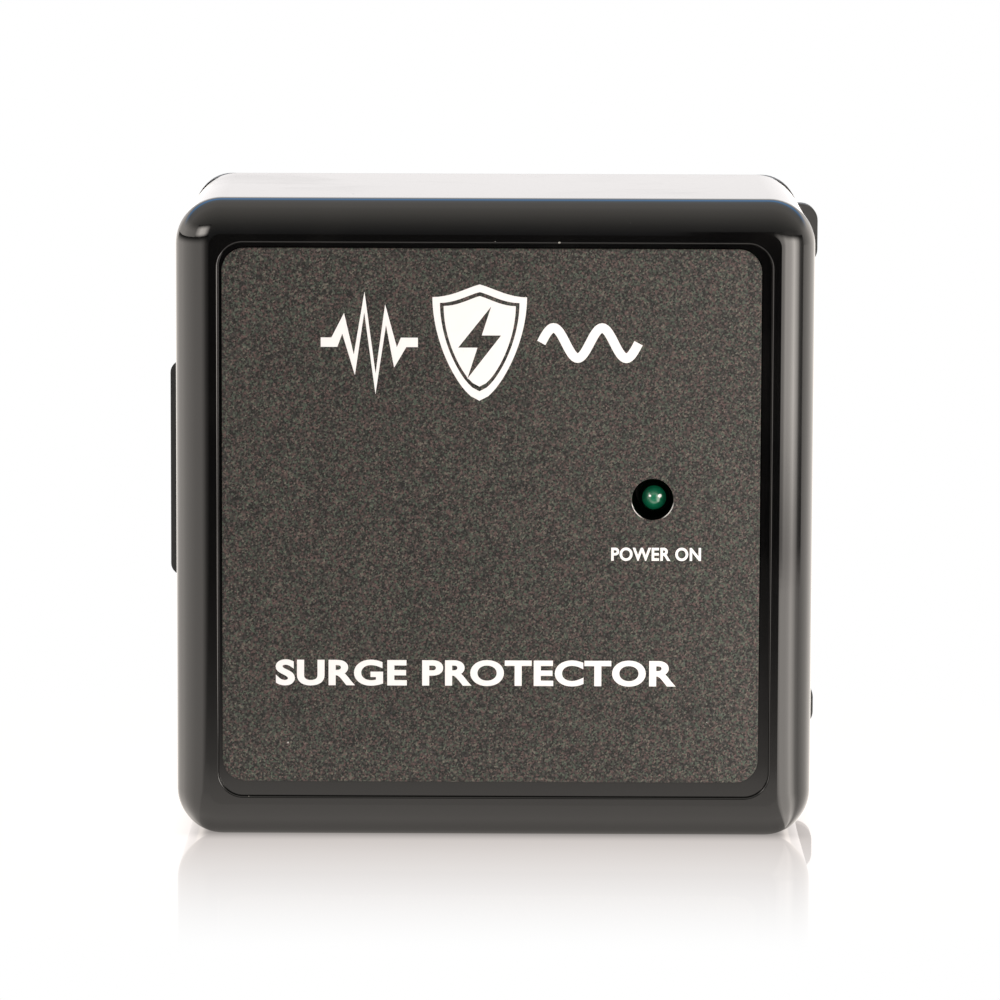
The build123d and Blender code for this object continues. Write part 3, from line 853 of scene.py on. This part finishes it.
def emblem(ink):
    shape = emblemShape
    left, right, low, high = [shape[key] for key in ("left", "right", "low", "high")]
    middle, level, height = (left + right) / 2, (low + high) / 2, high - low
    width, length, run = height * shape["shieldShare"], shape["waveLength"], shape["waveRun"]
    spikes = [Vector((left + x, level + z)) for x, z in shape["spikes"]]
    wave = []
    for step in range(shape["waveSteps"] + 1):
        x = run * step / shape["waveSteps"]
        wave.append(Vector((right - run + x, level + shape["waveHeight"] * math.sin(math.tau * x / length))))
    shields = [shieldOutline(middle, level + up, width - narrower, height - shorter)
               for up, narrower, shorter in ((0, 0, 0), shape["groove"], shape["inner"])]
    size = height * shape["boltShare"]
    bolt = [Vector((middle + size * across, level + size * up)) for across, up in shape["bolt"]]
    outlines = shields + [bolt, stroke(spikes, shape["stroke"]), stroke(wave, shape["stroke"])]
    curve = bpy.data.curves.new("emblem", "CURVE")
    curve.dimensions = "2D"
    curve.fill_mode = "BOTH"
    curve.extrude = inkShape["extrude"]
    for outline in outlines:
        line = curve.splines.new("POLY")
        line.points.add(len(outline) - 1)
        for point, spot in zip(line.points, outline):
            point.co = (spot.x, spot.y, 0, 1)
        line.use_cyclic_u = True
    printCurve(curve, "emblem", ink, left, right, low, high)


# Finishes of the parts inside, by the record's slots. A metal has its colour, tarnish, roughness, brushing
# direction and share of spots. A coating has its colour, shade, roughness, lump size, lump depth and coat.
metalLooks = {
    "tinned_copper": ((0.70, 0.69, 0.66), (0.42, 0.36, 0.28), 0.24, (1, 0.12, 1)),
    "zinc_steel": ((0.60, 0.61, 0.63), (0.44, 0.42, 0.38), 0.3, (1, 1, 1), 0.3),
    "spring_steel": ((0.52, 0.52, 0.53), (0.30, 0.28, 0.26), 0.22, (1, 3, 3)),
    "solder_leads": ((0.66, 0.66, 0.65), (0.46, 0.45, 0.42), 0.26, (1, 0.2, 1)),
    "cutoff_case": ((0.64, 0.64, 0.63), (0.48, 0.45, 0.40), 0.28, (1, 1, 0.15)),
    "nickel_caps": ((0.72, 0.69, 0.61), (0.54, 0.48, 0.38), 0.16, (1, 1, 0.2), 0.05),
    "tube_caps": ((0.70, 0.68, 0.64), (0.50, 0.44, 0.36), 0.22, (1, 1, 1), 0.05),
}
coatingLooks = {
    "clamp_plastic": ((0.72, 0.69, 0.60), (0.60, 0.56, 0.46), 0.42, 0.9, 0.012),
    "sheet_film": ((0.10, 0.10, 0.105), (0.15, 0.15, 0.15), 0.62, 0.5, 0.02),
    "varistor_coating": ((0.022, 0.085, 0.38), (0.012, 0.045, 0.22), 0.28, 2.2, 0.05, 0.4),
    "fuse_ceramic": ((0.86, 0.85, 0.80), (0.74, 0.71, 0.64), 0.55, 0.5, 0.012),
    "film_capacitor": ((0.70, 0.42, 0.045), (0.52, 0.28, 0.03), 0.34, 1.6, 0.02, 0.2),
    "tube_ceramic": ((0.85, 0.83, 0.80), (0.74, 0.70, 0.66), 0.36, 0.6, 0.01),
    "resistor_coating": ((0.28, 0.42, 0.50), (0.18, 0.29, 0.38), 0.34, 0.8, 0.02, 0.3),
    "diode_body": ((0.016, 0.016, 0.017), (0.03, 0.03, 0.03), 0.4, 0.6, 0.012),
    "connector_nylon": ((0.74, 0.71, 0.62), (0.62, 0.58, 0.48), 0.44, 1.0, 0.012),
    "wire_red": ((0.48, 0.014, 0.012), (0.33, 0.008, 0.009), 0.38, 1.2, 0.014, 0.15),
    "wire_black": ((0.014, 0.014, 0.015), (0.028, 0.028, 0.028), 0.4, 1.2, 0.014, 0.15),
}


def insideFinishes():
    finishes = {
        "matt_black_base": mattPlastic("matt_black_base", mattLook),
        "latch_black": mattPlastic("latch_black", dict(mattLook, roughness=0.4), 0.28),
        "spacer_black": mattPlastic("spacer_black", dict(mattLook, roughness=0.52), 0.25),
        "circuit_board": circuitBoard(),
    }
    finishes.update({name: metal(name, *look) for name, look in metalLooks.items()})
    finishes.update({name: coating(name, *look) for name, look in coatingLooks.items()})
    return finishes


def dressNodes():
    finishes = insideFinishes()
    for name, node in nodes.items():
        for place in node.material_slots:
            slotName = place.material.name.split(".")[0] if place.material else ""
            if slotName in finishes:
                place.material = finishes[slotName]
            elif slotName not in ("gloss_black_case", "label_film", "lamp_green"):
                print("no finish for", name, slotName)


# The two latch springs are copies of the record's springs that ride on the module.
springShape = {
    "pieces": {"latch_spring_upper": "springUpper", "latch_spring_lower": "springLower"},
    "travel": 0.004,
}


def shortSpring(node, name):
    coils = nodes[node].data.copy()
    coils.transform(nodes[node].matrix_world)
    spring = bpy.data.objects.new(name, coils)
    bpy.context.scene.collection.objects.link(spring)
    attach(spring, "module")
    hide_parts(node)
    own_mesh(spring)


# Studio. The eye sees plain white all round. The gloss sees a warm room, given as brightness by direction in
# degrees: round the object at low elevations, and over the top from the front horizon to the back one.
studio = {
    "lens": 212.4,
    "sensor": 36,
    "clip": 50,
    "pitch": -7.25,
    "yaw": 0.12,
    "roll": 0.2,
    "target": (-0.0009, -0.00348, -0.9375),
    "warm": (1.07, 1.0, 0.93),
    "peak": 12.0,
    "round": [(-180, 1.75), (-130, 1.8), (-100, 2.9), (-72, 2.5), (-52, 2.1), (-33, 2.0), (-20, 0.25),
              (-8, 0.12), (6, 0.12), (16, 0.5), (60, 0.5), (78, 1.1), (92, 2.0), (120, 3.0), (180, 1.75)],
    "over": [(0, (0.12, 0.12, 0.12)), (11, (0.17, 0.17, 0.17)), (29, (0.40, 0.39, 0.36)),
             (47, (0.74, 0.71, 0.65)), (66, (1.10, 1.04, 0.95)), (95, (1.42, 1.34, 1.24)),
             (118, (1.1, 1.05, 1.0)), (131, (0.75, 0.9, 1.05)), (139, (0.5, 1.3, 2.6)),
             (146, (0.6, 0.8, 1.1)), (152, (0.8, 0.8, 0.8)), (157, (1.3, 1.26, 1.25)),
             (180, (1.3, 1.26, 1.25))],
    "sideways": (0.35, 0.6),
    "lowTop": (0.30, 0.55),
    "corner": (0.0474, -0.0585),
}


def byPlace(tree, value, low, high, stops):  # a ramp read between two limits, up to the peak light
    share = (value - low) / (high - low)
    shades = []
    for place, shade in stops:
        colour = shade if isinstance(shade, tuple) else (shade, shade, shade)
        shades.append(((place - low) / (high - low), [part / studio["peak"] for part in colour]))
    ramp = addNode(tree, "ValToRGB", {"stops": shades}, {"Fac": share}, "Color")
    return scaled(tree, ramp, studio["peak"])


def byAngle(tree, angle, low, high, stops):
    return byPlace(tree, angle * (180 / math.pi), low, high, stops)


def cornerAzimuth(x, y):  # which way a place lies from the nearer front corner of the case
    cornerX, cornerY = studio["corner"]
    sideways = (abs(x) - cornerX).max(0.0)
    turn = sideways.angle(-1 * (y - cornerY))
    return turn * x.math("SIGN", x)


def tinted(tree, share, first, second):
    values = {"Factor_Float": share, "A_Color": first, "B_Color": second}
    return addNode(tree, "Mix", {"data_type": "RGBA"}, values, "Result_Color")


def scaled(tree, colour, amount):
    return addNode(tree, "VectorMath", {"operation": "SCALE"}, {0: colour, "Scale": amount})


def warmed(tree, colour):
    return addNode(tree, "VectorMath", {"operation": "MULTIPLY"}, {0: colour, 1: studio["warm"]})


def split(tree, place, letters):
    return [addNode(tree, "SeparateXYZ", values={"Vector": place}, output=letter) for letter in letters]


def shapeWorld():
    look = studio
    world = bpy.data.worlds.new("studio")
    bpy.context.scene.world = world
    world.use_nodes = True
    tree = world.node_tree
    tree.nodes.clear()
    toward = addNode(tree, "TexCoord", output="Generated")
    x, y, z = split(tree, toward, "XYZ")
    low = warmed(tree, byAngle(tree, x.angle(-1 * y), -180, 180, look["round"]))
    high = byAngle(tree, z.max(0.0).angle(-1 * y), 0, 180, look["over"])
    sideways = abs(x).step(*look["sideways"])
    lift = z.step(*look["lowTop"])
    glow = tinted(tree, sideways * (1 - lift), high, low)
    seen = addNode(tree, "LightPath", output="Is Camera Ray")
    shown = tinted(tree, seen, glow, (1, 1, 1))
    light = addNode(tree, "Background", values={"Color": shown, "Strength": 1.0})
    addNode(tree, "OutputWorld", values={"Surface": light})


def stageMaterial(name):
    material = bpy.data.materials.new(name)
    material.use_nodes = True
    material.node_tree.nodes.clear()
    return material, material.node_tree


def stageGrid(name, spot, size):  # an even grid of points from a function of two shares
    points = [spot(i / size, j / size) for i in range(size + 1) for j in range(size + 1)]
    row = size + 1
    faces = [(i * row + j, (i + 1) * row + j, (i + 1) * row + j + 1, i * row + j + 1)
             for i in range(size) for j in range(size)]
    piece = makeMesh(name, points, faces)
    return piece


# The floor: white to the eye, with a mirror image that fades away from the object and a painted contact
# shadow in the crevice under the rim. For the gloss it carries the same lights round the object as the soft
# boxes, darkened by a painted shadow under the rim, and ahead is its brightness by the distance in front of
# the case.
floorLook = {
    "size": 12,
    "mirror": 0.385,
    "mirrorReach": 0.088,
    "mirrorFade": 1.5,
    "mirrorTint": (1.0, 0.93, 0.895),
    "mirrorColour": (1.0, 0.985, 0.97),
    "mirrorRoughness": 0.03,
    # the painted contact shadow that the eye sees, and the painted shadow under the rim that the gloss sees
    "contactShadow": 0.0075,
    "creviceCurve": 0.6,
    "contactShadowDark": 0.45,
    "shadowUnderRimDark": 0.12,
    "shadowUnderRim": 0.007,
    "ahead": [(0, 1.65), (0.025, 1.45), (0.05, 1.2), (0.07, 0.72), (0.12, 0.42), (0.2, 0.2), (0.3, 0.07),
              (0.5, 0.03)],
    "round": [(-180, 1.75), (-130, 1.8), (-100, 2.9), (-72, 2.5), (-52, 2.1), (-33, 2.0), (-26, 1.2),
              (-20, 0.45), (-12, 0.0), (6, 0.0), (12, 3.2), (18, 4.6), (30, 4.6), (38, 5.2), (45, 6.8),
              (50, 6.0), (57, 4.2), (63, 2.4), (72, 1.7), (92, 2.4), (120, 2.9), (180, 1.75)],
}


def footprintGap(x, y, inset):
    halfX, front = (caseBox[1][0] - inset) * mm, (caseBox[0][1] + inset) * mm
    sideways = (abs(x) - halfX).max(0.0)
    lengthways = (abs(y - front / 2) + front / 2).max(0.0)
    return sideways.apart(lengthways)


def floorSurface():
    look = floorLook
    size, level = look["size"], cadBox[0][2]
    floor = stageGrid("floor", lambda i, j: Vector(((i - 0.5) * size, (j - 0.5) * size, level)), 4)
    material, tree = stageMaterial("floor")
    x, y = split(tree, addNode(tree, "TexCoord", output="Object"), "XY")
    fade = (1 - footprintGap(x, y, 0) / look["mirrorReach"]).max(0.0) ** look["mirrorFade"]
    contact = footprintGap(x, y, caseShape["rimDepth"])
    # painted shadow: the floor darkens towards the rim's footprint, for the eye here and for the gloss below
    contactShadow = contact.step(0.0, look["contactShadow"]) ** look["creviceCurve"]
    contactShadow = contactShadow * (1 - look["contactShadowDark"]) + look["contactShadowDark"]
    shadowUnderRim = contact.step(0.0, look["shadowUnderRim"]) * (1 - look["shadowUnderRimDark"]) + look["shadowUnderRimDark"]
    seen = addNode(tree, "LightPath", output="Is Camera Ray")
    lights = byAngle(tree, cornerAzimuth(x, y), -180, 180, look["round"])
    front = byPlace(tree, -1 * (y - caseBox[0][1] * mm), 0, look["ahead"][-1][0], look["ahead"])
    glow = warmed(tree, addNode(tree, "VectorMath", {"operation": "MAXIMUM"}, {0: lights, 1: front}))
    white = tinted(tree, fade, (1, 1, 1), look["mirrorTint"])
    colour = tinted(tree, seen, scaled(tree, glow, shadowUnderRim), scaled(tree, white, contactShadow))
    plain = addNode(tree, "Emission", values={"Color": colour, "Strength": 1.0})
    shine = {"Color": look["mirrorColour"], "Roughness": look["mirrorRoughness"]}
    mirror = addNode(tree, "BsdfGlossy", values=shine)
    both = addNode(tree, "MixShader", values={0: fade * look["mirror"] * seen, 1: plain, 2: mirror})
    addNode(tree, "OutputMaterial", values={"Surface": both})
    floor.data.materials.append(material)


# Soft boxes stand on arcs round the object and only the gloss sees them. Each runs from one angle to another
# at its distance, and from low to high. It fades at the top and comes in over its foot, and its light is
# given by the direction from the case's corner.
softBoxes = {
    "rightSoftBox": {
        "distance": 0.38, "from": 6, "to": 72, "low": -0.051, "high": 0.135,
        "soft": 0.35, "fadeIn": 0.04, "foot": 0.5,
        "light": [(6, 0.0), (9, 1.2), (13, 2.9), (19, 3.2), (24, 6.4), (30, 6.2), (38, 7.2), (48, 10.8),
                  (53, 8.2), (61, 4.6), (66, 1.2), (72, 0.5)],
    },
    "leftSoftBox": {
        "distance": 0.40, "from": -122, "to": -22, "low": -0.051, "high": 0.10,
        "soft": 0.5, "fadeIn": 0.01, "foot": 1.0,
        "light": [(-122, 2.1), (-100, 2.9), (-72, 2.5), (-52, 2.1), (-34, 2.0), (-27, 1.3), (-21, 0.5),
                  (-14, 0.0)],
    },
    "cornerBox": {
        "distance": 0.40, "from": -52, "to": -24, "low": 0.085, "high": 0.25,
        "soft": 0.45, "fadeIn": 0.05, "foot": 0.0,
        "light": [(-60, 0.0), (-50, 5.0), (-40, 9.5), (-30, 8.0), (-20, 0.0)],
    },
}


def softBox(name):
    look = softBoxes[name]
    start, end, low, high, light = [look[key] for key in ("from", "to", "low", "high", "light")]

    def spot(i, j):
        angle, distance = math.radians(start + (end - start) * i), look["distance"]
        return Vector((distance * math.sin(angle), -distance * math.cos(angle), low + (high - low) * j))

    box = stageGrid(name, spot, 24)
    material, tree = stageMaterial(name)
    x, y, z = split(tree, addNode(tree, "TexCoord", output="Object"), "XYZ")
    glow = warmed(tree, byAngle(tree, cornerAzimuth(x, y), light[0][0], light[-1][0], light))
    fade = z.step(high, high - (high - low) * look["soft"])
    fade = fade * (z.step(low, low + look["fadeIn"]) * (1 - look["foot"]) + look["foot"])
    shine = addNode(tree, "Emission", values={"Color": scaled(tree, glow, fade), "Strength": 1.0})
    addNode(tree, "OutputMaterial", values={"Surface": shine})
    box.data.materials.append(material)
    box.visible_camera = False


def placeCamera():
    look = studio
    data = bpy.data.cameras.new("camera")
    data.lens = look["lens"]
    data.sensor_width = look["sensor"]
    data.clip_end = look["clip"]
    camera = bpy.data.objects.new("camera", data)
    bpy.context.scene.collection.objects.link(camera)
    turn = Matrix.Rotation(math.radians(look["yaw"]), 3, "Z")
    turn = turn @ Matrix.Rotation(math.radians(90 + look["pitch"]), 3, "X")
    turn = turn @ Matrix.Rotation(math.radians(look["roll"]), 3, "Z")
    frontMiddle = Vector((0, caseBox[0][1] * mm, 0))
    camera.location = frontMiddle - turn @ Vector(look["target"])
    camera.rotation_euler = turn.to_euler()
    bpy.context.scene.camera = camera
    print("camera at", [round(value, 4) for value in camera.location])


dressNodes()
print("carried-over nodes have their finishes")
for node, name in springShape["pieces"].items():
    shortSpring(node, name)
print("springs made")
case = frontHousing()
housingBosses(case)
print("housing made")
frontLabel()
ink = labelInk()
for name in wordsShape:
    printWords(name, ink)
emblem(ink)
print("label and printing made")
lampLens()
shapeWorld()
floorSurface()
for name in softBoxes:
    softBox(name)
placeCamera()
bpy.context.scene.view_settings.view_transform = "Standard"
print("studio set")
